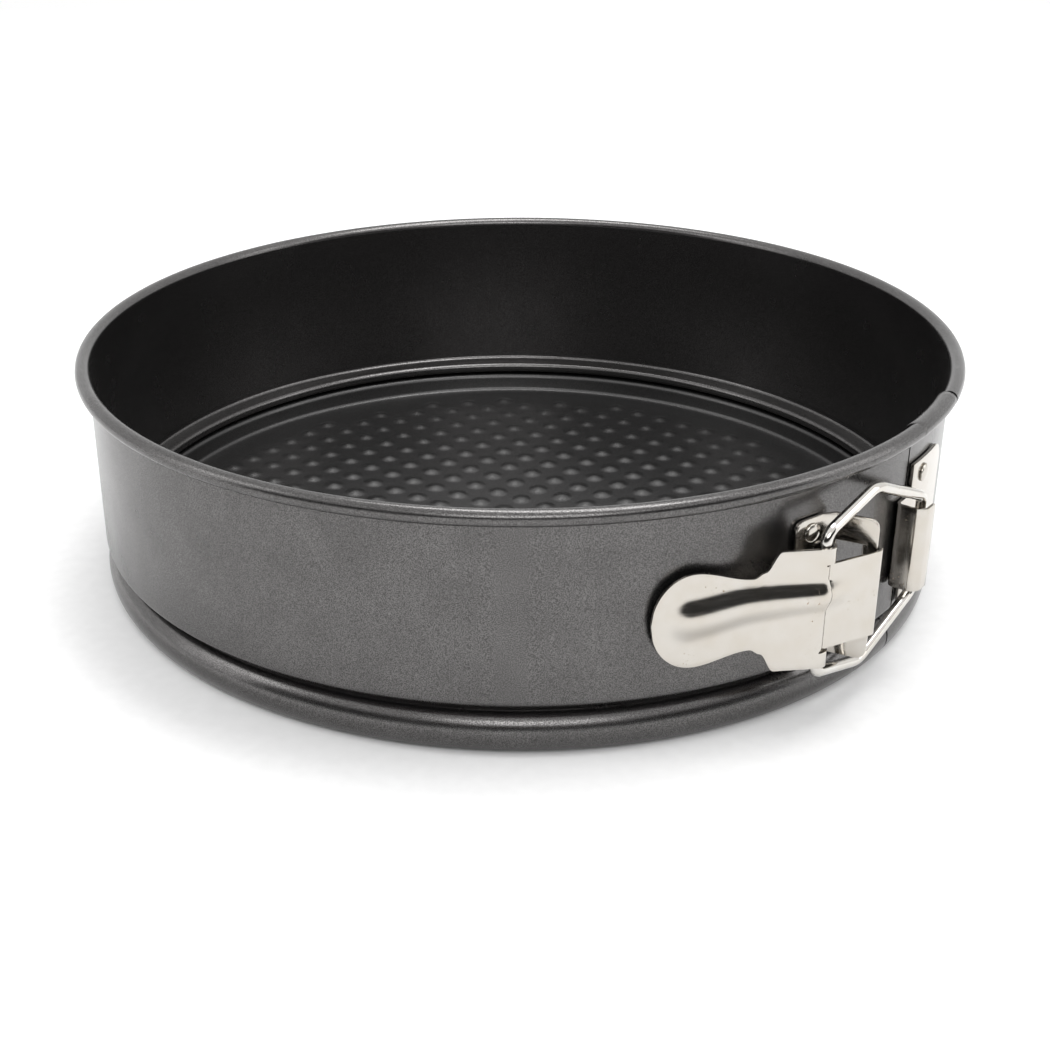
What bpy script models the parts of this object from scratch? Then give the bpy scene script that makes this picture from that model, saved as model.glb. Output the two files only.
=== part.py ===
"""Springform pan: a spring band in two halves, a lift-out base and an over-centre lever latch.

Metres, +Z up. The origin is on the pan's axis, on the surface that the pan stands on. Azimuths are
degrees from the front (-Y) towards the right (+X). The latch parts are bent from sheet, and their
heights are given from LATCH_Z, the latch's mid height, about which they are symmetric.
"""

import math

import bmesh
import bpy
from mathutils import Matrix, Vector

MM = 0.001
GAP = 0.3 * MM

# Band and base
RIM_RADIUS = 124.0 * MM
PAN_HEIGHT = 65.9 * MM
SHEET = 0.6 * MM
CURL_RADIUS = 2.1 * MM
WALL_RADIUS = 120.1 * MM
GROOVE_RADIUS = 116.0 * MM
NOSE_HEIGHT = 11.9 * MM
NOSE_RADIUS = 1.6 * MM
BEAD_HEIGHT = 5.3 * MM
BEAD_HALF_WIDTH = 4.1 * MM
BEAD_HALF_HEIGHT = 5.0 * MM
LIP_RADIUS = 112.8 * MM
FLOOR_RADIUS = 112.2 * MM
FLOOR_HEIGHT = 3.5 * MM
ROLL_RADIUS = 1.6 * MM
ROLL_CENTRE = (116.3 * MM, 7.7 * MM)
SKIRT_END = 2.4 * MM
STEP = 6
SEAM = 54
RIM_SEAM = 66
BAND_HINGE = SEAM + 180

# Latch
LATCH_Z = 35.0 * MM
LEVER_PIVOT = (83.9 * MM, -99.9 * MM)
BAIL_PIVOT = (71.5 * MM, -107.5 * MM)
CATCH_AZIMUTH = 53.4
CATCH_RADIUS = 125.4 * MM
LEVER_SHEET = 0.8 * MM
BRACKET_SHEET = 1.0 * MM
CATCH_SHEET = 0.8 * MM
WALL_OUTSIDE = WALL_RADIUS + SHEET / 2
TONGUE_HALF = 11.1 * MM
EAR_INNER = 11.6 * MM
EAR_OUTER = 15.6 * MM
KNUCKLE_RADIUS = 2.0 * MM
EAR_RADIUS = 2.2 * MM
TONGUE_ANGLE = 28.5
LEAF_ANGLE = -25
WINDOW_HALF = 11.7 * MM
CATCH_HALF = 19.3 * MM
HOOK_HALF = 11.3 * MM
WIRE_RADIUS = 1.4 * MM
BRACKET_RIVETS = (34.9, 15.0 * MM)
CATCH_RIVETS = (58.0, 14.9 * MM)
SHANK_RADIUS = 1.5 * MM
HOLE_RADIUS = 1.8 * MM
RIVET_SIDES = 14


def clear_scene():
    for obj in list(bpy.data.objects):
        bpy.data.objects.remove(obj, do_unlink=True)
    for collection in list(bpy.data.collections):
        bpy.data.collections.remove(collection)


def new_collection(name):
    collection = bpy.data.collections.new(name)
    bpy.context.scene.collection.children.link(collection)
    return collection


def metal(name, color, roughness, metallic):
    material = bpy.data.materials.new(name)
    material.use_nodes = True
    shader = material.node_tree.nodes["Principled BSDF"]
    shader.inputs["Base Color"].default_value = (*color, 1)
    shader.inputs["Roughness"].default_value = roughness
    shader.inputs["Metallic"].default_value = metallic
    return material


def polar(azimuth, radius):
    """The plan position (x, y) at an azimuth and a distance from the pan's axis."""
    angle = math.radians(azimuth)
    return radius * math.sin(angle), -radius * math.cos(angle)


def arc(center, radii, start, end, steps):
    """Points on an ellipse, from one angle to another, in degrees from the first axis."""
    points = []
    for i in range(steps + 1):
        angle = math.radians(start + (end - start) * i / steps)
        across = center[0] + radii[0] * math.cos(angle)
        along = center[1] + radii[1] * math.sin(angle)
        points.append((across, along))
    return points


def azimuth_of(point, start):
    """A point's azimuth, counted on from just before a half's starting azimuth."""
    lowest = start - STEP / 2
    azimuth = math.degrees(math.atan2(point.x, -point.y))
    return (azimuth - lowest) % 360 + lowest


def object_from(bm, name, collection, material):
    mesh = bpy.data.meshes.new(name)
    bm.to_mesh(mesh)
    bm.free()
    obj = bpy.data.objects.new(name, mesh)
    collection.objects.link(obj)
    mesh.materials.append(material)
    mesh.shade_smooth()
    mesh.set_sharp_from_angle(angle=math.radians(35))
    return obj


def solidify(obj, thickness):
    modifier = obj.modifiers.new("sheet", "SOLIDIFY")
    modifier.thickness = thickness
    modifier.offset = 0
    modifier.use_even_offset = True
    modifier.use_quality_normals = True


def band_profile():
    """The band's section, mid sheet: rim curl, wall, shoulder, nose, bead and the lip it stands on."""
    curl = CURL_RADIUS - SHEET / 2
    curl_center = (RIM_RADIUS - CURL_RADIUS, PAN_HEIGHT - CURL_RADIUS)
    nose_center = (GROOVE_RADIUS, NOSE_HEIGHT)
    bead_center = (GROOVE_RADIUS, BEAD_HEIGHT)
    points = arc(curl_center, (curl, curl), -90, 180, 6)
    points.append((WALL_RADIUS, 16.6 * MM))
    points.append((WALL_RADIUS - 0.6 * MM, 15.3 * MM))
    points.append((WALL_RADIUS - 1.8 * MM, 14.6 * MM))
    points += arc(nose_center, (NOSE_RADIUS, NOSE_RADIUS), 90, 270, 4)
    points += arc(bead_center, (BEAD_HALF_WIDTH, BEAD_HALF_HEIGHT), 90, -90, 6)[1:]
    points.append((LIP_RADIUS, SHEET / 2))
    return points


def spun_band(start, end):
    """The band's section turned from one azimuth to another."""
    bm = bmesh.new()
    verts = [bm.verts.new((*polar(start, radius), height)) for radius, height in band_profile()]
    edges = [bm.edges.new(pair) for pair in zip(verts, verts[1:])]
    turn = math.radians(end - start)
    steps = round((end - start) / STEP)
    bmesh.ops.spin(bm, geom=verts + edges, cent=(0, 0, 0), axis=(0, 0, 1), angle=turn, steps=steps)
    bmesh.ops.recalc_face_normals(bm, faces=bm.faces)
    return bm


def is_curl(point):
    """Whether a point is on the curl, beyond the wall."""
    outside = math.hypot(point.x, point.y) > WALL_RADIUS + 0.5 * MM
    return outside and point.z > PAN_HEIGHT - 3 * CURL_RADIUS


def shift_ends(bm, start, shifts):
    """Turns the free edges at given azimuths by small lengths of arc, to leave gaps."""
    for azimuth, length in shifts.items():
        ends = []
        for vert in bm.verts:
            if vert.is_boundary and abs(azimuth_of(vert.co, start) - azimuth) < STEP / 4:
                ends.append(vert)
        turn = Matrix.Rotation(length / WALL_RADIUS, 3, "Z")
        bmesh.ops.rotate(bm, verts=ends, cent=(0, 0, 0), matrix=turn)


def band_left(collection, material):
    """The half that carries the lever. Its curl runs on past the seam, over the other half's wall."""
    start = BAND_HINGE - 360
    bm = spun_band(start, RIM_SEAM)
    beyond = []
    for face in bm.faces:
        center = face.calc_center_median()
        if azimuth_of(center, start) > SEAM and not is_curl(center):
            beyond.append(face)
    bmesh.ops.delete(bm, geom=beyond, context="FACES")
    shift_ends(bm, start, {start: GAP / 2, SEAM: -GAP / 2, RIM_SEAM: -GAP})
    obj = object_from(bm, "band_left", collection, material)
    solidify(obj, SHEET)
    return obj


def band_right(collection, material):
    """The half that carries the catch. Its curl starts where the other half's ends."""
    bm = spun_band(SEAM, BAND_HINGE)
    under_curl = []
    for face in bm.faces:
        center = face.calc_center_median()
        over_wall = center.z > PAN_HEIGHT - CURL_RADIUS
        if azimuth_of(center, SEAM) < RIM_SEAM and (over_wall or is_curl(center)):
            under_curl.append(face)
    bmesh.ops.delete(bm, geom=under_curl, context="FACES")
    shift_ends(bm, SEAM, {SEAM: GAP / 2, BAND_HINGE: -GAP / 2})
    obj = object_from(bm, "band_right", collection, material)
    solidify(obj, SHEET)
    return obj


def base_plate(collection, material):
    """A pressed disc whose rolled edge sits in the band's bead."""
    profile = [(0, FLOOR_HEIGHT), (FLOOR_RADIUS, FLOOR_HEIGHT)]
    profile.append((FLOOR_RADIUS + 1.1 * MM, FLOOR_HEIGHT + 0.5 * MM))
    profile.append((FLOOR_RADIUS + 1.8 * MM, FLOOR_HEIGHT + 1.7 * MM))
    profile += arc(ROLL_CENTRE, (ROLL_RADIUS, ROLL_RADIUS), 180, 0, 4)
    profile.append((ROLL_CENTRE[0] + ROLL_RADIUS, SKIRT_END))
    bm = bmesh.new()
    verts = [bm.verts.new((radius, 0, height)) for radius, height in reversed(profile)]
    for pair in zip(verts, verts[1:]):
        bm.edges.new(pair)
    obj = object_from(bm, "base_plate", collection, material)
    screw = obj.modifiers.new("turn", "SCREW")
    screw.steps = 360 // STEP
    screw.render_steps = screw.steps
    screw.use_merge_vertices = True
    screw.merge_threshold = 0.00005
    screw.use_smooth_shade = True
    solidify(obj, SHEET)
    return obj


def add_columns(bm, columns, openings=()):
    """A bent sheet: each column is a plan position with the heights of its vertices."""
    grid = []
    for position, heights in columns:
        grid.append([bm.verts.new((*position, LATCH_Z + height)) for height in heights])
    for i in range(len(grid) - 1):
        for j in range(len(grid[i]) - 1):
            if (i, j) not in openings:
                bm.faces.new((grid[i][j], grid[i + 1][j], grid[i + 1][j + 1], grid[i][j + 1]))


def sheet_part(bm, name, collection, material, thickness):
    bmesh.ops.remove_doubles(bm, verts=bm.verts, dist=0.00001)
    bmesh.ops.recalc_face_normals(bm, faces=bm.faces)
    obj = object_from(bm, name, collection, material)
    solidify(obj, thickness)
    return obj


def latch_bracket(collection, material):
    """A flange on the wall and a leaf standing off it, with a window that the lever's knuckle fills."""
    radius = WALL_OUTSIDE + GAP + BRACKET_SHEET / 2
    columns = []
    for azimuth, half in ((32.6, 16.6), (33.5, 18.5), (36, 18.7)):
        columns.append((polar(azimuth, radius), half * MM))
    leaf = Vector((math.cos(math.radians(LEAF_ANGLE)), math.sin(math.radians(LEAF_ANGLE))))
    for before_pivot, half in ((10.0, 18.6), (8.5, 18.5), (2.8, 18.5), (1.2, 18.5), (-0.3, 17.9), (-1.2, 16.2)):
        position = Vector(LEVER_PIVOT) - leaf * before_pivot * MM
        columns.append((tuple(position), half * MM))
    levels = []
    for position, half in columns:
        levels.append((position, (-half, -WINDOW_HALF, WINDOW_HALF, half)))
    bm = bmesh.new()
    add_columns(bm, levels, openings=((4, 1), (5, 1)))
    return sheet_part(bm, "latch_bracket", collection, material, BRACKET_SHEET)


def lever_outline():
    """The grip's plan positions and half heights, from its round tip to the bend beside the bail."""
    grip = [((31.7, -118.4), 3.0), ((32.7, -118.1), 6.8), ((36.0, -117.2), 10.4), ((41.7, -115.6), 12.1)]
    grip += [((47.5, -114.2), 11.2), ((55.0, -112.4), 9.3), ((58.0, -111.8), 10.8), ((60.5, -111.3), 14.6)]
    grip += [((62.5, -110.9), EAR_OUTER / MM), ((66.5, -110.3), EAR_OUTER / MM)]
    return [((x * MM, y * MM), half * MM) for (x, y), half in grip]


def latch_lever(collection, material):
    """The grip, a tongue rolled into the hinge knuckle, and two ears rolled round the bail's pins."""
    bend = (BAIL_PIVOT[0] + 0.15 * MM, BAIL_PIVOT[1] - EAR_RADIUS)
    bm = bmesh.new()
    columns = []
    for position, half in lever_outline() + [(bend, EAR_OUTER)]:
        share = half / EAR_OUTER
        ups = [TONGUE_HALF * share, EAR_INNER * share, half]
        columns.append((position, [-up for up in reversed(ups)] + ups))
    add_columns(bm, columns)
    knuckle = arc(LEVER_PIVOT, (KNUCKLE_RADIUS, KNUCKLE_RADIUS), TONGUE_ANGLE - 90, 150, 9)
    tongue = [bend, (73.3 * MM, -107.9 * MM)] + knuckle
    add_columns(bm, [(position, (-TONGUE_HALF, TONGUE_HALF)) for position in tongue])
    ear = [bend] + arc(BAIL_PIVOT, (EAR_RADIUS, EAR_RADIUS), -86, 150, 9)[1:]
    for low, high in ((EAR_INNER, EAR_OUTER), (-EAR_OUTER, -EAR_INNER)):
        add_columns(bm, [(position, (low, high)) for position in ear])
    return sheet_part(bm, "latch_lever", collection, material, LEVER_SHEET)


def catch_point(along, radius):
    """A plan position beside the bail's bar: along the wall, and from the pan's axis."""
    out = Vector(polar(CATCH_AZIMUTH, 1))
    right = Vector((-out.y, out.x))
    return tuple(out * radius + right * along)


def catch_plate(collection, material):
    """A flange on the wall whose middle folds out and back into the hook for the bail's bar."""
    radius = WALL_OUTSIDE + GAP + CATCH_SHEET / 2
    left = -4.2 * MM
    outer = radius + 7.1 * MM
    corner = 2.2 * MM
    flange = []
    for azimuth, half in ((65, 13.0), (64, 15.2), (62.5, 17.0), (60, 18.3), (57, 19.0)):
        flange.append((polar(azimuth, radius), (-half * MM, -HOOK_HALF, HOOK_HALF, half * MM)))
    root = (polar(54.7, radius), (-CATCH_HALF, -HOOK_HALF, HOOK_HALF, CATCH_HALF))
    hook = arc((left + corner, radius + corner), (corner, corner), 270, 180, 3)
    hook += arc((left + corner, outer - corner), (corner, corner), 180, 90, 3)
    hook.append((2.2 * MM, outer))
    bm = bmesh.new()
    add_columns(bm, flange + [root])
    positions = [root[0]] + [catch_point(*point) for point in hook]
    add_columns(bm, [(position, (-HOOK_HALF, HOOK_HALF)) for position in positions])
    return sheet_part(bm, "catch_plate", collection, material, CATCH_SHEET)


def rounded(corners, radius, steps):
    """The corners of an open path, each inner one replaced by a short curve."""
    points = [corners[0]]
    for before, corner, after in zip(corners, corners[1:], corners[2:]):
        entry = corner + (before - corner).normalized() * radius
        leave = corner + (after - corner).normalized() * radius
        for i in range(steps + 1):
            t = i / steps
            points.append(entry * (1 - t) ** 2 + corner * 2 * t * (1 - t) + leave * t**2)
    points.append(corners[-1])
    return points


def bail_wire(collection, material):
    """A wire loop: two pins in the lever's ears, arms round the bracket, and a bar in the catch."""
    start = Vector(BAIL_PIVOT)
    reach = Vector(polar(CATCH_AZIMUTH, CATCH_RADIUS)) - start
    side = [(0, 12.3), (0, 18.1), (0.467, 23.5), (1, 13.4)]
    upper = []
    for share, height in side:
        plan = start + reach * share
        upper.append(Vector((plan.x, plan.y, LATCH_Z + height * MM)))
    lower = [Vector((point.x, point.y, 2 * LATCH_Z - point.z)) for point in reversed(upper)]
    points = rounded(upper + lower, 1.9 * MM, 2)
    curve = bpy.data.curves.new("bail_wire", "CURVE")
    curve.dimensions = "3D"
    curve.bevel_depth = WIRE_RADIUS
    curve.bevel_resolution = 2
    curve.use_fill_caps = True
    spline = curve.splines.new("POLY")
    spline.points.add(len(points) - 1)
    for target, point in zip(spline.points, points):
        target.co = (*point, 1)
    curve.materials.append(material)
    obj = bpy.data.objects.new("bail_wire", curve)
    collection.objects.link(obj)
    return obj


def outward(azimuth, radius, height):
    """A placement on the wall whose +Z points away from the pan's axis."""
    x, y = polar(azimuth, radius)
    turn = Vector((x, y, 0)).to_track_quat("Z", "Y").to_matrix().to_4x4()
    return Matrix.Translation((x, y, height)) @ turn


def rivet(name, azimuth, height, sheet, collection, material):
    """A domed rivet through a flange and the wall, with its set end inside the pan."""
    seat = WALL_OUTSIDE + 2 * GAP + sheet
    inside = WALL_RADIUS - SHEET / 2 - 1.5 * GAP
    bm = bmesh.new()
    profile = [(0, seat + 1.3 * MM), (1.5 * MM, seat + 1.0 * MM), (2.3 * MM, seat + 0.4 * MM)]
    profile += [(2.4 * MM, seat), (SHANK_RADIUS, seat), (SHANK_RADIUS, inside)]
    profile += [(2.6 * MM, inside), (2.4 * MM, inside - 0.6 * MM), (0, inside - 0.8 * MM)]
    verts = [bm.verts.new((radius, 0, along - seat)) for radius, along in profile]
    for pair in zip(verts, verts[1:]):
        bm.edges.new(pair)
    obj = object_from(bm, name, collection, material)
    screw = obj.modifiers.new("turn", "SCREW")
    screw.steps = RIVET_SIDES
    screw.render_steps = RIVET_SIDES
    screw.use_merge_vertices = True
    screw.merge_threshold = 0.00005
    obj.matrix_world = outward(azimuth, seat, height)
    return obj


def drill(name, azimuth, height, collection, targets):
    """A rivet hole through each target."""
    bm = bmesh.new()
    bmesh.ops.create_cone(
        bm, cap_ends=True, segments=RIVET_SIDES, radius1=HOLE_RADIUS, radius2=HOLE_RADIUS, depth=8 * MM
    )
    mesh = bpy.data.meshes.new(name)
    bm.to_mesh(mesh)
    bm.free()
    cutter = bpy.data.objects.new(name, mesh)
    collection.objects.link(cutter)
    cutter.matrix_world = outward(azimuth, WALL_OUTSIDE, height)
    cutter.hide_render = True
    cutter.display_type = "WIRE"
    for target in targets:
        cut = target.modifiers.new(name, "BOOLEAN")
        cut.operation = "DIFFERENCE"
        cut.object = cutter


def rivet_pair(side, place, sheet, targets, parts, cutters, material):
    """The upper and the lower rivet of a flange, and their holes."""
    azimuth, offset = place
    rivets = []
    for end, height in (("upper", LATCH_Z + offset), ("lower", LATCH_Z - offset)):
        drill(f"{side}_hole_{end}", azimuth, height, cutters, targets)
        rivets.append(rivet(f"{side}_rivet_{end}", azimuth, height, sheet, parts, material))
    return rivets


def pivot(name, position, collection, parent=None):
    empty = bpy.data.objects.new(name, None)
    empty.empty_display_size = 10 * MM
    empty.location = (*position, LATCH_Z)
    collection.objects.link(empty)
    bpy.context.view_layer.update()
    if parent:
        hang([empty], parent)
    return empty


def hang(objects, parent):
    """Parents objects where they stand."""
    bpy.context.view_layer.update()
    for obj in objects:
        obj.parent = parent
        obj.matrix_parent_inverse = parent.matrix_world.inverted()


def main():
    clear_scene()
    parts = new_collection("springform_pan")
    cutters = new_collection("cutters")
    coating = metal("band_coating", (0.12, 0.12, 0.13), 0.38, 0.6)
    dark_coating = metal("base_coating", (0.035, 0.035, 0.04), 0.42, 0.5)
    plated = metal("plated_steel", (0.72, 0.70, 0.66), 0.2, 1.0)
    wire = metal("wire_steel", (0.70, 0.69, 0.67), 0.16, 1.0)

    left = band_left(parts, coating)
    right = band_right(parts, coating)
    base_plate(parts, dark_coating)
    bracket = latch_bracket(parts, plated)
    lever = latch_lever(parts, plated)
    bail = bail_wire(parts, wire)
    catch = catch_plate(parts, plated)
    rivet_pair("bracket", BRACKET_RIVETS, BRACKET_SHEET, (left, bracket), parts, cutters, plated)
    catch_rivets = rivet_pair("catch", CATCH_RIVETS, CATCH_SHEET, (right, catch), parts, cutters, plated)

    band_hinge = pivot("band_hinge", polar(BAND_HINGE, RIM_RADIUS), parts)
    lever_hinge = pivot("lever_hinge", LEVER_PIVOT, parts)
    bail_hinge = pivot("bail_hinge", BAIL_PIVOT, parts, lever_hinge)
    hang([right, catch, *catch_rivets], band_hinge)
    hang([lever], lever_hinge)
    hang([bail], bail_hinge)


main()
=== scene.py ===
"""Looks of the springform pan: coated band and dimpled base, plated latch, floor, lights and camera."""

import math

import bmesh
import bpy
import numpy as np
from mathutils import Matrix, Vector


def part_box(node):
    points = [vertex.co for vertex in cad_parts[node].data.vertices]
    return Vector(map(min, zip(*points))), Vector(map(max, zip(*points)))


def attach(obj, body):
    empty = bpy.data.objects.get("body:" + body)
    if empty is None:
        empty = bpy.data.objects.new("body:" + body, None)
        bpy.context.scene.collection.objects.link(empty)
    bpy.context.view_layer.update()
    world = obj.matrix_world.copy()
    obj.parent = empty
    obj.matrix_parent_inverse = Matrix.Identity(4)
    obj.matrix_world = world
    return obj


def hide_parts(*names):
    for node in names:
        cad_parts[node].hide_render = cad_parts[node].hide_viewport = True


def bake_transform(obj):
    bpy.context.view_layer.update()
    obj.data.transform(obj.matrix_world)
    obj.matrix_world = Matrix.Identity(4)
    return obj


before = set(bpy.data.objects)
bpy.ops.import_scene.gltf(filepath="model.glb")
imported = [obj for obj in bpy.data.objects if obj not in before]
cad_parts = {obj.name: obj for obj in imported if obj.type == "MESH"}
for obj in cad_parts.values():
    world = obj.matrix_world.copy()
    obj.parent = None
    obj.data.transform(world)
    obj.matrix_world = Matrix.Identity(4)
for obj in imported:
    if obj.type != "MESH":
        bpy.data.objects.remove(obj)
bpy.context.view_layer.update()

MM = 0.001

# Band, from the frame's box where it can be.
low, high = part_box("band_left")
PAN_HEIGHT = high.z
RIM_RADIUS = 124.0 * MM
SHEET = 0.6 * MM
CURL_RADIUS = 2.1 * MM
WALL_RADIUS = 120.1 * MM
WALL_OUTSIDE = WALL_RADIUS + SHEET / 2
GROOVE_RADIUS = 116.0 * MM
WALL_LOW_END = 15.6 * MM
SHOULDER_HEIGHT = 15.4 * MM
SHOULDER_RADIUS = 1.6 * MM
NOSE_HEIGHT = 12.0 * MM
NOSE_RADIUS = 1.3 * MM
BEAD_HEIGHT = 5.45 * MM
BEAD_HALF_WIDTH = 4.1 * MM
BEAD_HALF_HEIGHT = 5.15 * MM
LIP_RADIUS = 112.8 * MM
SEAM = 54
RIM_SEAM = 66
SPRING_START = 116
SPRING_END = 264
GAP = 0.3 * MM
SEAM_GAP = 0.7 * MM

# Base. The dimples' lattice has two steps and a starting point, fitted to the photograph.
FLOOR_RADIUS = 112.2 * MM
FLOOR_HEIGHT = 3.5 * MM
ROLL_CENTRE = (116.3 * MM, 7.7 * MM)
ROLL_RADIUS = 1.6 * MM
DIMPLE_FIELD = 104.5 * MM
DIMPLE_HEIGHT = 0.8 * MM
DIMPLE_RADIUS = 3.4 * MM
DIMPLE_A = Vector((5.4 * MM, 7.45 * MM))
DIMPLE_B = Vector((-7.32 * MM, 5.4 * MM))
DIMPLE_START = Vector((-0.47 * MM, -2.51 * MM))

# Latch
LATCH_Z = 35.0 * MM
LEVER_PIVOT = (83.9 * MM, -99.9 * MM)
BAIL_PIVOT = (71.5 * MM, -107.5 * MM)
CATCH_AZIMUTH = 53.4
CATCH_RADIUS = 125.4 * MM
LEVER_SHEET = 0.8 * MM
BRACKET_SHEET = 1.0 * MM
CATCH_SHEET = 0.8 * MM
TONGUE_HALF = 11.1 * MM
EAR_INNER = 11.6 * MM
EAR_OUTER = 15.6 * MM
KNUCKLE_RADIUS = 2.0 * MM
EAR_RADIUS = 2.2 * MM
TONGUE_ANGLE = 28.5
LEAF_ANGLE = -25
WINDOW_HALF = 11.7 * MM
CATCH_HALF = 19.3 * MM
HOOK_HALF = 11.3 * MM
WIRE_RADIUS = 1.4 * MM
BRACKET_RIVETS = (34.9, 15.0 * MM)
CATCH_RIVETS = (58.0, 14.9 * MM)


# --- shapes -------------------------------------------------------------------------------------


def polar(azimuth, radius):
    """The plan position (x, y) at an azimuth (degrees from -Y towards +X) and a radius."""
    angle = math.radians(azimuth)
    return radius * math.sin(angle), -radius * math.cos(angle)


def arc(center, radii, start, end, steps):
    """Points on an ellipse, from one angle to another, in degrees from the first axis."""
    points = []
    for i in range(steps + 1):
        angle = math.radians(start + (end - start) * i / steps)
        across = center[0] + radii[0] * math.cos(angle)
        along = center[1] + radii[1] * math.sin(angle)
        points.append((across, along))
    return points


def smooth_path(points, spacing):
    """A Catmull-Rom curve through the points, read at about the given spacing."""
    points = [Vector(point) for point in points]
    padded = [2 * points[0] - points[1]] + points + [2 * points[-1] - points[-2]]
    path = []
    for p0, p1, p2, p3 in zip(padded, padded[1:], padded[2:], padded[3:]):
        steps = max(1, round((p2 - p1).length / spacing))
        for i in range(steps):
            t = i / steps
            point = 2 * p1 + (p2 - p0) * t
            point += (2 * p0 - 5 * p1 + 4 * p2 - p3) * t**2
            point += (3 * p1 - p0 - 3 * p2 + p3) * t**3
            path.append(point / 2)
    path.append(points[-1])
    return path


def piece_from(bm, name, material, thickness=0, edge=0, weld=0.00001, even=True):
    """A shown object made from a bmesh: an open sheet gets its thickness and its rounded edges."""
    if weld:
        bmesh.ops.remove_doubles(bm, verts=bm.verts, dist=weld)
    bmesh.ops.recalc_face_normals(bm, faces=bm.faces)
    mesh = bpy.data.meshes.new(name)
    bm.to_mesh(mesh)
    bm.free()
    piece = bpy.data.objects.new(name, mesh)
    bpy.context.scene.collection.objects.link(piece)
    mesh.materials.append(material)
    if thickness:
        sheet = piece.modifiers.new("sheet", "SOLIDIFY")
        sheet.thickness = thickness
        sheet.offset = 0
        sheet.use_even_offset = even
        sheet.use_quality_normals = True
    if edge:
        bevel = piece.modifiers.new("edge", "BEVEL")
        bevel.width = edge
        bevel.segments = 2
        bevel.limit_method = "ANGLE"
        bevel.angle_limit = math.radians(50)
    return apply_modifiers(piece)


def apply_modifiers(piece):
    """Turns the modified shape into the object's own mesh, shaded smooth up to sharp edges."""
    graph = bpy.context.evaluated_depsgraph_get()
    mesh = bpy.data.meshes.new_from_object(piece.evaluated_get(graph))
    piece.modifiers.clear()
    piece.data = mesh
    mesh.shade_smooth()
    mesh.set_sharp_from_angle(angle=math.radians(55))
    return piece


def add_grid(bm, columns, openings=()):
    """A bent sheet: each column is a list of points, and an opening is a (column, row) left out."""
    grid = []
    for column in columns:
        grid.append([bm.verts.new(point) for point in column])
    for i in range(len(grid) - 1):
        for j in range(len(grid[i]) - 1):
            if (i, j) not in openings:
                bm.faces.new((grid[i][j], grid[i + 1][j], grid[i + 1][j + 1], grid[i][j + 1]))


def rising(plan, heights):
    """A column of points over a plan position, at heights from the latch's mid height."""
    return [(plan[0], plan[1], LATCH_Z + height) for height in heights]


# --- band ---------------------------------------------------------------------------------------


def foot_profile():
    """The band's section below the wall, mid sheet: shoulder, nose, bead and turned-in lip."""
    shoulder = (WALL_RADIUS - SHOULDER_RADIUS, SHOULDER_HEIGHT)
    points = arc(shoulder, (SHOULDER_RADIUS, SHOULDER_RADIUS), 0, -75, 7)
    points += arc((GROOVE_RADIUS + 0.2 * MM, NOSE_HEIGHT), (NOSE_RADIUS, NOSE_RADIUS), 92, 268, 12)
    points += arc((GROOVE_RADIUS, BEAD_HEIGHT), (BEAD_HALF_WIDTH, BEAD_HALF_HEIGHT), 88, -90, 20)
    points.append((LIP_RADIUS, SHEET / 2))
    return points


def curl_profile(wall_radius):
    """The rolled rim from its free edge over the top to the wall, at either wall radius."""
    outer = RIM_RADIUS - SHEET / 2
    half_width = (outer - wall_radius) / 2
    center = (wall_radius + half_width, PAN_HEIGHT - CURL_RADIUS)
    return arc(center, (half_width, CURL_RADIUS - SHEET / 2), -125, 180, 26)


def turned_sheet(bm, profile, azimuths):
    """Adds a section turned through a list of azimuths."""
    columns = []
    for azimuth in azimuths:
        columns.append([(*polar(azimuth, radius), height) for radius, height in profile])
    add_grid(bm, columns)


def azimuths_between(start, end, meets=()):
    """About one a degree, with closer ones beside an end where another piece of the sheet goes on."""
    count = max(2, round(end - start) + 1)
    azimuths = {start + (end - start) * i / (count - 1) for i in range(count)}
    for place in meets:
        inward = 1 if place == start else -1
        azimuths.update(place + inward * offset for offset in (0.06, 0.2, 0.5))
    return sorted(azimuths)


def degrees_of(length):
    """The angle of a length of arc at the wall."""
    return math.degrees(length / WALL_RADIUS)


def wall_profile(top):
    """The band's upright wall, from its top down to the shoulder."""
    steps = 6
    return [(WALL_RADIUS, top + (WALL_LOW_END - top) * i / steps) for i in range(steps + 1)]


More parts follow.
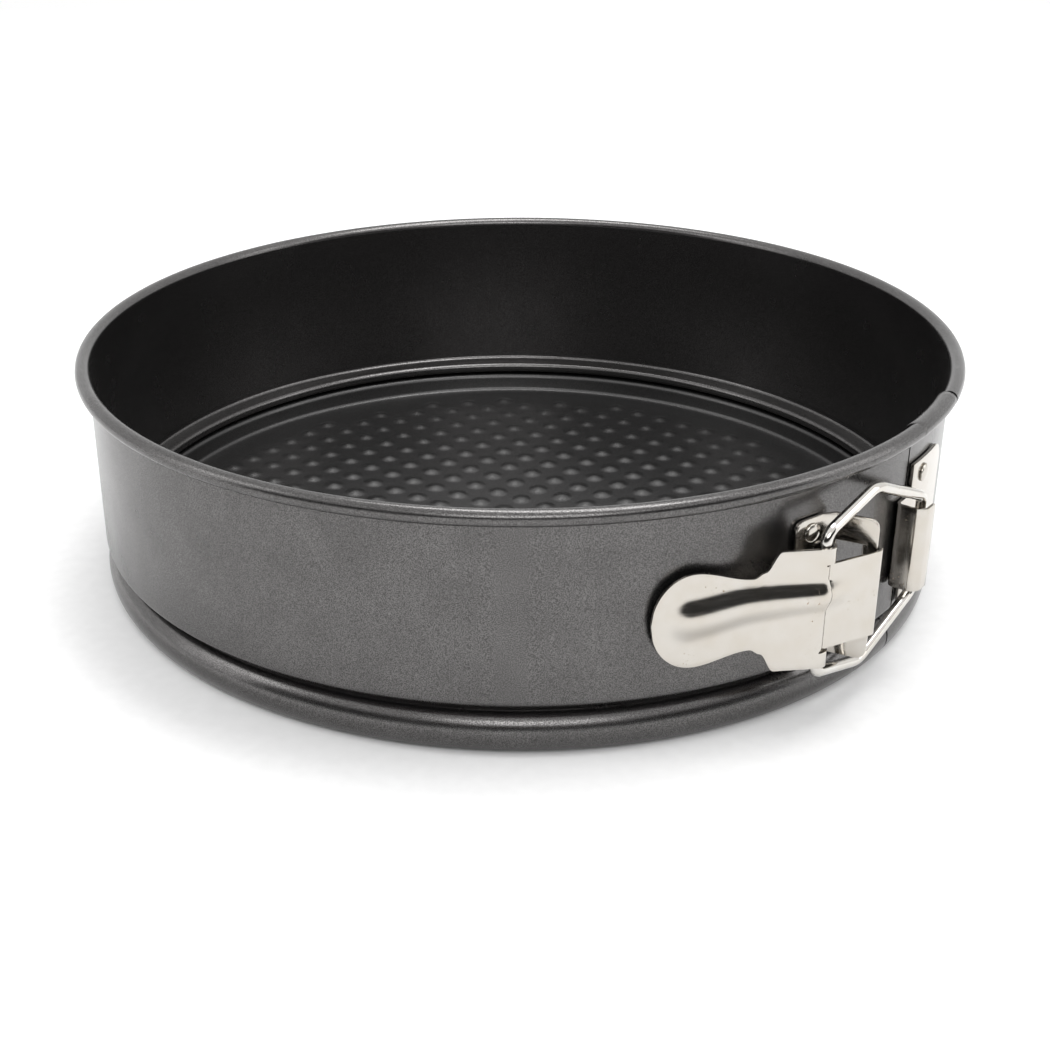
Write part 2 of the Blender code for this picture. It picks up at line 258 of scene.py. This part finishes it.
def make_band(material):
    """The two halves of the ring, the sheet behind them, and the lap behind the seam."""
    wall_top = PAN_HEIGHT - 2.4 * MM
    whole = curl_profile(WALL_RADIUS) + wall_profile(wall_top) + foot_profile()
    gap = degrees_of(SEAM_GAP)
    left_end = SEAM - gap / 2
    rear_start = SPRING_END - 360

    bm = bmesh.new()
    turned_sheet(bm, whole, azimuths_between(rear_start, left_end, (rear_start,)))
    left = piece_from(bm, "band_wall_left", material, SHEET)

    bm = bmesh.new()
    lap_radius = WALL_RADIUS - 0.95 * MM
    lap_wall = [(lap_radius, z) for _, z in wall_profile(wall_top)]
    turned_sheet(bm, curl_profile(lap_radius) + lap_wall, azimuths_between(left_end, RIM_SEAM - gap))
    columns = []
    for azimuth, radius in ((49, WALL_RADIUS - 0.2 * MM), (51.5, lap_radius), (left_end, lap_radius)):
        columns.append([(*polar(azimuth, radius), z) for _, z in lap_wall])
    add_grid(bm, columns)
    lap = piece_from(bm, "band_lap", material, SHEET, 0.08 * MM)

    bm = bmesh.new()
    plain = wall_profile(PAN_HEIGHT - 2.6 * MM) + foot_profile()
    turned_sheet(bm, plain, azimuths_between(SEAM + gap / 2, RIM_SEAM))
    turned_sheet(bm, whole, azimuths_between(RIM_SEAM, SPRING_START, (SPRING_START,)))
    right = piece_from(bm, "band_wall_right", material, SHEET)

    bm = bmesh.new()
    turned_sheet(bm, whole, azimuths_between(SPRING_START, SPRING_END, (SPRING_START, SPRING_END)))
    rear = piece_from(bm, "band_wall_rear", material, SHEET)

    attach(left, "root")
    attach(lap, "root")
    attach(right, "ring_right")
    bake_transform(rear)
    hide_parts("band_left")
    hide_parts("band_right")


# --- base ---------------------------------------------------------------------------------------


def dimple_lift(x, y):
    """How far the floor is raised at each point of a square lattice of round bumps."""
    basis = np.array([[DIMPLE_A.x, DIMPLE_B.x], [DIMPLE_A.y, DIMPLE_B.y]])
    start = np.array([[DIMPLE_START.x], [DIMPLE_START.y]])
    place = np.linalg.inv(basis) @ (np.array([x, y]) - start)
    lift = np.zeros_like(x)
    for da in (0, 1):
        for db in (0, 1):
            node = start + basis @ (np.floor(place) + np.array([[da], [db]]))
            distance = np.hypot(x - node[0], y - node[1]) / DIMPLE_RADIUS
            bump = (1 - np.minimum(distance, 1) ** 2) ** 2
            inside = np.hypot(node[0], node[1]) < DIMPLE_FIELD
            lift += DIMPLE_HEIGHT * bump * inside
    return lift


def make_base(material):
    """The base: a fine floor with raised dimples, and its rolled edge."""
    bm = bmesh.new()
    around = 720
    rings = [DIMPLE_FIELD * 1.03 * (i / 140) for i in range(1, 141)]
    edge = [(FLOOR_RADIUS, FLOOR_HEIGHT)]
    edge += arc((FLOOR_RADIUS, FLOOR_HEIGHT + 1.9 * MM), (1.9 * MM, 1.9 * MM), -60, -12, 4)
    edge += arc(ROLL_CENTRE, (ROLL_RADIUS, ROLL_RADIUS), 176, 0, 12)
    edge.append((ROLL_CENTRE[0] + ROLL_RADIUS, 2.4 * MM))
    turn = np.linspace(0, 2 * math.pi, around, endpoint=False)
    rows = []
    for radius in rings:
        x = radius * np.cos(turn)
        y = radius * np.sin(turn)
        z = FLOOR_HEIGHT + dimple_lift(x, y)
        rows.append([bm.verts.new(point) for point in zip(x, y, z)])
    for radius, height in edge:
        rows.append([bm.verts.new((radius * math.cos(a), radius * math.sin(a), height)) for a in turn])
    for inner, outer in zip(rows, rows[1:]):
        for i in range(around):
            j = (i + 1) % around
            bm.faces.new((inner[i], outer[i], outer[j], inner[j]))
    bm.faces.new(list(reversed(rows[0])))
    base = piece_from(bm, "base_dimpled", material, SHEET, weld=0)
    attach(base, "root")
    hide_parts("base_plate")


# --- latch --------------------------------------------------------------------------------------


def spread(levels, counts):
    """Levels with each stretch between them divided evenly."""
    filled = [levels[0]]
    for lower, upper, count in zip(levels, levels[1:], counts):
        for i in range(count):
            filled.append(lower + (upper - lower) * (i + 1) / count)
    return filled


def half_height(u, outline):
    """The lever's half height at a distance from its tip, smoothly between the outline's points."""
    for (u0, h0), (u1, h1) in zip(outline, outline[1:]):
        if u <= u1:
            t = (u - u0) / (u1 - u0)
            return h0 + (h1 - h0) * t * t * (3 - 2 * t)
    return outline[-1][1]


def smooth(value, start, end):
    """0 up to start, 1 from end, and a smooth change between them."""
    t = min(1, max(0, (value - start) / (end - start)))
    return t * t * (3 - 2 * t)


def rib_lift(u, height):
    """The lever's pressed rib: a long rounded ridge that narrows and fades out on the tongue."""
    narrowing = smooth(u, 12 * MM, 46 * MM)
    middle = (0.4 + 2.0 * smooth(u, 8 * MM, 24 * MM) + 1.0 * narrowing) * MM
    half = (6.6 - 2.0 * narrowing) * MM
    begin = 9.5 * MM
    end = min(0, u - begin) / half
    side = (height - middle) / half
    distance = min(1, math.hypot(end, side))
    crest = (1.85 - 0.5 * narrowing) * MM * (1 - smooth(u, 38 * MM, 55 * MM))
    return crest * (0.5 + 0.5 * math.cos(math.pi * distance))


def make_lever(material):
    """The grip with its pressed rib, the tongue rolled into the knuckle, and the two rolled ears."""
    grip_points = [(31.7, -118.4), (36.0, -117.15), (41.7, -115.6), (48.5, -113.95), (55.0, -112.4)]
    grip_points += [(60.5, -111.3), (66.5, -110.4), (70.0, -109.9), (71.65, -109.7)]
    grip = smooth_path([(x * MM, y * MM) for x, y in grip_points], 0.5 * MM)
    outline = [(10.3, 12.1), (24.2, 9.25), (26.8, 10.6), (30.4, EAR_OUTER / MM), (45, EAR_OUTER / MM)]
    round_end = 10.3 * MM
    round_half = 12.1 * MM
    lengths = [0]
    for before, after in zip(grip, grip[1:]):
        lengths.append(lengths[-1] + (after - before).length)
    levels = [-EAR_OUTER, -EAR_INNER, -TONGUE_HALF, TONGUE_HALF, EAR_INNER, EAR_OUTER]
    shares = [level / EAR_OUTER for level in spread(levels, [3, 1, 44, 1, 3])]
    bm = bmesh.new()
    columns = []
    for i, (plan, u) in enumerate(zip(grip, lengths)):
        if u < round_end:
            half = round_half * math.sqrt(max(0.0004, 1 - (1 - u / round_end) ** 2))
        else:
            half = half_height(u / MM, outline) * MM
        along = (grip[min(i + 1, len(grip) - 1)] - grip[max(i - 1, 0)]).normalized()
        outward = Vector((along.y, -along.x))
        column = []
        for share in shares:
            height = half * share
            lifted = plan + outward * rib_lift(u, height)
            column.append((lifted.x, lifted.y, LATCH_Z + height))
        columns.append(column)
    add_grid(bm, columns)
    bend = tuple(grip[-1])
    knuckle = arc(LEVER_PIVOT, (KNUCKLE_RADIUS, KNUCKLE_RADIUS), TONGUE_ANGLE - 90, 150, 20)
    tongue = smooth_path([bend, (72.3 * MM, -109.0 * MM), (73.4 * MM, -107.9 * MM), knuckle[0]], 0.5 * MM)
    tongue_levels = [share * EAR_OUTER for share in shares[4:-4]]
    tongue_columns = []
    u = lengths[-1]
    for i, plan in enumerate(tongue):
        if i:
            u += (plan - tongue[i - 1]).length
            ahead = tongue[min(i + 1, len(tongue) - 1)] - tongue[i - 1]
            outward = Vector((ahead.y, -ahead.x)).normalized()
        column = []
        for height in tongue_levels:
            lifted = plan + outward * rib_lift(u, height)
            column.append((lifted.x, lifted.y, LATCH_Z + height))
        tongue_columns.append(column)
    tongue_columns += [rising(plan, tongue_levels) for plan in knuckle[1:]]
    add_grid(bm, tongue_columns)
    ear = [bend] + arc(BAIL_PIVOT, (EAR_RADIUS, EAR_RADIUS), -86, 165, 22)[1:]
    for low_share, high_share in ((0, 4), (len(shares) - 4, len(shares))):
        heights = [share * EAR_OUTER for share in shares[low_share:high_share]]
        add_grid(bm, [rising(plan, heights) for plan in ear])
    # An even offset throws spikes out of this sheet where the rib crosses the bend.
    lever = piece_from(bm, "lever_grip", material, LEVER_SHEET, 0.12 * MM, even=False)
    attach(lever, "lever")
    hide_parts("latch_lever")


def corner_cut(distance, size):
    """How much a rounded corner of this size takes off a height, this far from the sheet's end."""
    into = max(0, size - distance) / size
    return size * (1 - math.sqrt(max(0, 1 - into**2)))


def make_bracket(material):
    """A flange on the wall, and a leaf with the window that the lever's knuckle fills."""
    radius = WALL_OUTSIDE + GAP + BRACKET_SHEET / 2
    leaf = Vector((math.cos(math.radians(LEAF_ANGLE)), math.sin(math.radians(LEAF_ANGLE))))
    bend = Vector(LEVER_PIVOT) - leaf * 10.0 * MM
    first_azimuth = 32.6
    columns = []
    for distance in (0, 0.15, 0.35, 0.7, 1.1, 1.6, 2.2, 3.0, 4.2, 6.0, 8.0):
        azimuth = first_azimuth + degrees_of(distance * MM)
        half = (18.4 + 0.04 * distance) * MM - corner_cut(distance * MM, 2.2 * MM)
        columns.append((Vector(polar(azimuth, radius)), half))
    first = len(columns)
    reach = 11.2 * MM
    for distance in spread([0.9 * MM, 1.5 * MM, 6.0 * MM, 8.8 * MM, reach], [1, 4, 4, 8]):
        half = 18.5 * MM - corner_cut(reach - distance, 2.6 * MM)
        columns.append((bend + leaf * distance, half))
    bm = bmesh.new()
    window_rows = 12
    made = []
    for plan, half in columns:
        heights = spread([-half, -WINDOW_HALF, WINDOW_HALF, half], [4, window_rows, 4])
        made.append(rising(plan, heights))
    openings = set()
    for i in range(first + 1, first + 9):
        for j in range(4, 4 + window_rows):
            openings.add((i, j))
    add_grid(bm, made, openings)
    bracket = piece_from(bm, "bracket_plate", material, BRACKET_SHEET, 0.12 * MM)
    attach(bracket, "root")
    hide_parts("latch_bracket")


def catch_point(along, radius):
    """A plan position beside the bail's bar: along the wall, and from the pan's axis."""
    out = Vector(polar(CATCH_AZIMUTH, 1))
    right = Vector((-out.y, out.x))
    return out * radius + right * along


def make_catch(material):
    """A flange on the wall, whose middle folds out into the hook that holds the bail's bar."""
    radius = WALL_OUTSIDE + GAP + CATCH_SHEET / 2
    left = -4.2 * MM
    outer = radius + 7.1 * MM
    corner = 1.3 * MM
    outer_corner = 2.4 * MM
    rows = 12
    bm = bmesh.new()
    columns = []
    first_azimuth = 65.0
    root_azimuth = 54.7
    for i in range(25):
        azimuth = first_azimuth + (root_azimuth - first_azimuth) * (i / 24) ** 1.5
        from_end = math.radians(first_azimuth - azimuth) * radius
        half = CATCH_HALF - 0.05 * (azimuth - root_azimuth) * MM - corner_cut(from_end, 6.0 * MM)
        heights = spread([-half, -HOOK_HALF, HOOK_HALF, half], [6, rows, 6])
        columns.append(rising(polar(azimuth, radius), heights))
    add_grid(bm, columns)
    hook = [Vector(polar(root_azimuth, radius)), catch_point(1.0 * MM, radius)]
    bends = arc((left + corner, radius + corner), (corner, corner), 270, 180, 8)
    bends += arc((left + outer_corner, outer - outer_corner), (outer_corner, outer_corner), 180, 90, 8)
    hook += [catch_point(*point) for point in bends]
    hook += [catch_point(0, outer), catch_point(1.2 * MM, outer)]
    levels = spread([-HOOK_HALF, HOOK_HALF], [rows])
    add_grid(bm, [rising(plan, levels) for plan in hook])
    catch = piece_from(bm, "catch_hook", material, CATCH_SHEET, 0.12 * MM)
    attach(catch, "ring_right")
    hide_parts("catch_plate")


def rounded(corners, radii, steps):
    """The corners of an open path, each inner one replaced by a curve of its own size."""
    points = [corners[0]]
    for before, corner, after, radius in zip(corners, corners[1:], corners[2:], radii):
        entry = corner + (before - corner).normalized() * radius
        leave = corner + (after - corner).normalized() * radius
        for i in range(steps + 1):
            t = i / steps
            points.append(entry * (1 - t) ** 2 + corner * 2 * t * (1 - t) + leave * t**2)
    points.append(corners[-1])
    return points


def make_bail(material):
    """The wire loop: from pin to pin round the bracket, with its bar in the catch's hook."""
    start = Vector(BAIL_PIVOT)
    reach = Vector(polar(CATCH_AZIMUTH, CATCH_RADIUS)) - start
    upper = []
    for share, height in [(0, 12.3), (0, 18.2), (0.467, 23.5), (1, 13.1)]:
        plan = start + reach * share
        upper.append(Vector((plan.x, plan.y, LATCH_Z + height * MM)))
    lower = [Vector((point.x, point.y, 2 * LATCH_Z - point.z)) for point in reversed(upper)]
    sizes = [3.2, 2.8, 2.0]
    radii = [size * MM for size in sizes + list(reversed(sizes))]
    points = rounded(upper + lower, radii, 8)
    curve = bpy.data.curves.new("bail_loop", "CURVE")
    curve.dimensions = "3D"
    curve.bevel_depth = WIRE_RADIUS
    curve.bevel_resolution = 7
    curve.use_fill_caps = True
    spline = curve.splines.new("POLY")
    spline.points.add(len(points) - 1)
    for target, point in zip(spline.points, points):
        target.co = (*point, 1)
    curve.materials.append(material)
    bail = bpy.data.objects.new("bail_loop", curve)
    bpy.context.scene.collection.objects.link(bail)
    graph = bpy.context.evaluated_depsgraph_get()
    mesh = bpy.data.meshes.new_from_object(bail.evaluated_get(graph))
    bpy.data.objects.remove(bail)
    bm = bmesh.new()
    bm.from_mesh(mesh)
    bail = piece_from(bm, "bail_loop", material)
    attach(bail, "bail")
    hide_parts("bail_wire")


def make_rivet(name, node, azimuth, height, sheet, body, material):
    """A rivet turned about its own axis: a low dome outside, a flat set end inside."""
    seat = WALL_OUTSIDE + GAP + sheet + 0.02 * MM
    inside = WALL_RADIUS - SHEET / 2 - 0.1 * MM
    head = 2.4 * MM
    shank = 1.5 * MM
    profile = arc((0, seat + 0.3 * MM), (head, 0.7 * MM), 90, 8, 8)
    profile += [(head, seat + 0.15 * MM), (head - 0.15 * MM, seat), (shank, seat), (shank, inside)]
    profile += arc((0, inside - 0.25 * MM), (2.3 * MM, 0.55 * MM), -20, -90, 5)
    profile = [(max(0, radius), along) for radius, along in profile]
    around = 32
    x, y = polar(azimuth, 1)
    out = Vector((x, y, 0))
    side = Vector((-y, x, 0))
    up = Vector((0, 0, 1))
    bm = bmesh.new()
    rows = []
    for radius, along in profile:
        row = []
        for i in range(around):
            angle = 2 * math.pi * i / around
            offset = side * math.cos(angle) + up * math.sin(angle)
            point = out * along + offset * radius + up * height
            row.append(bm.verts.new(point))
        rows.append(row)
    for first, second in zip(rows, rows[1:]):
        for i in range(around):
            j = (i + 1) % around
            bm.faces.new((first[i], first[j], second[j], second[i]))
    bmesh.ops.remove_doubles(bm, verts=bm.verts, dist=0.000002)
    bmesh.ops.dissolve_degenerate(bm, dist=0.000001, edges=bm.edges)
    rivet = piece_from(bm, name, material, weld=0)
    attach(rivet, body)
    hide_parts(node)


def make_rivets(material):
    """An upper and a lower rivet for the bracket, and the same for the catch."""
    for side, place, sheet, body in (
        ("bracket", BRACKET_RIVETS, BRACKET_SHEET, "root"),
        ("catch", CATCH_RIVETS, CATCH_SHEET, "ring_right"),
    ):
        azimuth, offset = place
        for end, height in (("upper", LATCH_Z + offset), ("lower", LATCH_Z - offset)):
            name = f"{side}_head_{end}"
            make_rivet(name, f"{side}_rivet_{end}", azimuth, height, sheet, body, material)


# --- materials ----------------------------------------------------------------------------------


class Nodes:
    """A material's node tree, with short calls to add nodes and to link them."""

    def __init__(self, name):
        self.material = bpy.data.materials.new(name)
        self.material.use_nodes = True
        self.tree = self.material.node_tree
        self.shader = self.tree.nodes["Principled BSDF"]
        self.place = self.add("ShaderNodeTexCoord").outputs["Object"]

    def add(self, kind, **values):
        node = self.tree.nodes.new(kind)
        for name, value in values.items():
            setattr(node, name, value)
        return node

    def link(self, source, target):
        self.tree.links.new(source, target)

    def noise(self, size, detail=2.0, roughness=0.5, stretch=(1, 1, 1)):
        """Noise whose features are about size metres wide, stretched along an axis."""
        mapping = self.add("ShaderNodeMapping")
        mapping.inputs["Scale"].default_value = [1 / (size * amount) for amount in stretch]
        self.link(self.place, mapping.inputs["Vector"])
        noise = self.add("ShaderNodeTexNoise")
        noise.inputs["Scale"].default_value = 1
        noise.inputs["Detail"].default_value = detail
        noise.inputs["Roughness"].default_value = roughness
        self.link(mapping.outputs["Vector"], noise.inputs["Vector"])
        return noise.outputs["Fac"]

    def ramp(self, source, start, end, low=0.0, high=1.0):
        """Source's stretch from start to end, turned into low to high."""
        node = self.add("ShaderNodeMapRange")
        node.inputs["From Min"].default_value = start
        node.inputs["From Max"].default_value = end
        node.inputs["To Min"].default_value = low
        node.inputs["To Max"].default_value = high
        self.link(source, node.inputs["Value"])
        return node.outputs["Result"]

    def math(self, operation, first, second):
        node = self.add("ShaderNodeMath", operation=operation)
        for value, socket in ((first, node.inputs[0]), (second, node.inputs[1])):
            if isinstance(value, (int, float)):
                socket.default_value = value
            else:
                self.link(value, socket)
        return node.outputs["Value"]

    def mix(self, amount, first, second):
        """One colour turning into another; either may be a colour or a socket."""
        node = self.add("ShaderNodeMix", data_type="RGBA")
        self.link(amount, node.inputs["Factor"])
        for value, name in ((first, "A"), (second, "B")):
            socket = [i for i in node.inputs if i.name == name and i.type == "RGBA"][0]
            if isinstance(value, tuple):
                socket.default_value = (*value, 1)
            else:
                self.link(value, socket)
        return [o for o in node.outputs if o.type == "RGBA"][0]

    def bump(self, height, distance, strength=1.0):
        node = self.add("ShaderNodeBump")
        node.inputs["Distance"].default_value = distance
        node.inputs["Strength"].default_value = strength
        self.link(height, node.inputs["Height"])
        self.link(node.outputs["Normal"], self.shader.inputs["Normal"])


def coating(name, dark, light, roughness, speckle):
    """Non-stick coating: a dark metallic grey with fine brighter flakes and faint rubbed patches."""
    nodes = Nodes(name)
    flakes = nodes.noise(0.00026, detail=1.0)
    patches = nodes.noise(0.012, detail=3.0)
    flake_amount = nodes.ramp(flakes, 0.38, 0.64, 0.0, speckle)
    speckled = nodes.mix(flake_amount, dark, light)
    duller = tuple(0.9 * value for value in dark)
    color = nodes.mix(nodes.ramp(patches, 0.35, 0.7, 0.0, 0.25), speckled, duller)
    nodes.link(color, nodes.shader.inputs["Base Color"])
    rubbed = nodes.ramp(patches, 0.3, 0.7, roughness - 0.015, roughness + 0.03)
    nodes.link(rubbed, nodes.shader.inputs["Roughness"])
    nodes.shader.inputs["Metallic"].default_value = 0.95
    nodes.bump(flakes, 0.00001, 0.35)
    return nodes.material


def plated(name, color, roughness):
    """Nickel plate: bright, slightly uneven, with fine scratches and a few dull brown specks."""
    nodes = Nodes(name)
    unevenness = nodes.noise(0.006, detail=2.0)
    scratches = nodes.noise(0.00035, detail=3.0, roughness=0.7, stretch=(18, 18, 1))
    specks = nodes.noise(0.0009, detail=3.0, roughness=0.65)
    stains = nodes.noise(0.008, detail=2.0)
    speck_amount = nodes.ramp(specks, 0.62, 0.72)
    stain_amount = nodes.math("MULTIPLY", nodes.ramp(stains, 0.56, 0.68), speck_amount)
    warm = tuple(value * factor for value, factor in zip(color, (0.95, 0.93, 0.90)))
    tinted = nodes.mix(nodes.ramp(unevenness, 0.35, 0.7), color, warm)
    shown = nodes.mix(stain_amount, tinted, (0.30, 0.22, 0.14))
    nodes.link(shown, nodes.shader.inputs["Base Color"])
    nodes.shader.inputs["Metallic"].default_value = 1.0
    fine = nodes.ramp(scratches, 0.5, 0.8, roughness, roughness + 0.12)
    rough_stains = nodes.math("MULTIPLY", stain_amount, 0.3)
    nodes.link(nodes.math("ADD", fine, rough_stains), nodes.shader.inputs["Roughness"])
    height = nodes.math("ADD", nodes.math("MULTIPLY", scratches, 0.2), unevenness)
    nodes.bump(height, 0.00004, 0.3)
    return nodes.material


# --- setting ------------------------------------------------------------------------------------


def make_floor():
    """A plain pale floor."""
    nodes = Nodes("pale_floor")
    grain = nodes.noise(0.004, detail=2.0)
    shade = nodes.mix(nodes.ramp(grain, 0.3, 0.7), (0.90, 0.90, 0.90), (0.93, 0.93, 0.93))
    nodes.link(shade, nodes.shader.inputs["Base Color"])
    nodes.shader.inputs["Roughness"].default_value = 0.6
    nodes.shader.inputs["Specular IOR Level"].default_value = 0.2
    bm = bmesh.new()
    bmesh.ops.create_circle(bm, cap_ends=True, segments=96, radius=6.0)
    floor = piece_from(bm, "studio_floor", nodes.material, weld=0)


def area_light(name, place, target, size, power):
    """A soft rectangular light that faces its target."""
    light = bpy.data.lights.new(name, "AREA")
    light.shape = "RECTANGLE"
    light.size = size[0]
    light.size_y = size[1]
    light.energy = power
    lamp = bpy.data.objects.new(name, light)
    lamp.location = place
    lamp.rotation_euler = (Vector(target) - Vector(place)).to_track_quat("-Z", "Y").to_euler()
    bpy.context.scene.collection.objects.link(lamp)


def make_world():
    """A white studio with a dark front, where the photographer stands, and a dim ceiling over it."""
    world = bpy.data.worlds.new("studio")
    world.use_nodes = True
    tree = world.node_tree
    background = tree.nodes["Background"]
    place = tree.nodes.new("ShaderNodeTexCoord")
    split = tree.nodes.new("ShaderNodeSeparateXYZ")
    tree.links.new(place.outputs["Generated"], split.inputs["Vector"])

    def span(source, start, end, low, high):
        node = tree.nodes.new("ShaderNodeMapRange")
        node.interpolation_type = "SMOOTHSTEP"
        node.inputs["From Min"].default_value = start
        node.inputs["From Max"].default_value = end
        node.inputs["To Min"].default_value = low
        node.inputs["To Max"].default_value = high
        tree.links.new(source, node.inputs["Value"])
        return node.outputs["Result"]

    def multiply(first, second):
        node = tree.nodes.new("ShaderNodeMath")
        node.operation = "MULTIPLY"
        tree.links.new(first, node.inputs[0])
        tree.links.new(second, node.inputs[1])
        return node.outputs["Value"]

    front = span(split.outputs["Y"], 0.35, -0.15, 0.0, 1.0)
    above = span(split.outputs["Z"], -0.04, 0.14, 0.0, 1.0)
    below_ceiling = span(split.outputs["Z"], 0.36, 0.62, 1.0, 0.1)
    darkness = multiply(multiply(front, above), below_ceiling)
    strength = span(darkness, 0.0, 1.0, 1.12, 0.03)
    tree.links.new(strength, background.inputs["Strength"])
    background.inputs["Color"].default_value = (1, 1, 1, 1)
    bpy.context.scene.world = world


def make_lights():
    """A narrow light overhead for the rim's top, a bank at each side, and a fill from the front."""
    area_light("overhead", (0.1, 0.1, 0.9), (0, 0, 0), (0.8, 0.3), 4.5)
    area_light("left_bank", (-1.0, -0.2, 0.5), (0, 0, 0.03), (0.5, 0.9), 2.6)
    area_light("right_bank", (1.0, -0.1, 0.5), (0, 0, 0.03), (0.5, 0.9), 2.6)
    area_light("front_fill", (0.1, -1.1, 0.8), (0, 0, 0.03), (0.8, 0.5), 4)


def make_camera():
    """At the photograph's viewing angle. The shift places the pan as the photograph frames it."""
    distance_ahead = 0.43928
    height = 0.21492
    elevation = math.radians(25.599)
    heading = math.radians(3.857)
    roll = math.radians(-1.354)
    level = math.cos(elevation)
    back = Vector((level * math.sin(heading), -level * math.cos(heading), math.sin(elevation)))
    right = Vector((math.cos(heading), math.sin(heading), 0))
    up = back.cross(right)
    rolled_right = right * math.cos(roll) + up * math.sin(roll)
    rolled_up = up * math.cos(roll) - right * math.sin(roll)
    camera = bpy.data.cameras.new("camera")
    camera.lens = 54.94
    camera.sensor_width = 36
    camera.shift_x = 0.1054
    camera.shift_y = -0.0021
    camera.clip_start = 0.01
    eye = bpy.data.objects.new("camera", camera)
    axes = Matrix((rolled_right, rolled_up, back)).transposed()
    eye.matrix_world = Matrix.Translation((0, -distance_ahead, height)) @ axes.to_4x4()
    bpy.context.scene.collection.objects.link(eye)
    bpy.context.scene.camera = eye


# --- the scene ----------------------------------------------------------------------------------

band_coating = coating("band_coating", (0.070, 0.0674, 0.0665), (0.186, 0.181, 0.179), 0.25, 0.8)
base_coating = coating("base_coating", (0.063, 0.062, 0.062), (0.124, 0.122, 0.121), 0.36, 0.7)
plated_steel = plated("plated_steel", (0.515, 0.490, 0.453), 0.135)
wire_steel = plated("wire_steel", (0.60, 0.583, 0.556), 0.07)

make_camera()
make_world()
make_lights()
make_floor()
bpy.context.scene.view_settings.view_transform = "Standard"

make_band(band_coating)
make_base(base_coating)
make_lever(plated_steel)
make_bracket(plated_steel)
make_catch(plated_steel)
make_bail(wire_steel)
make_rivets(plated_steel)
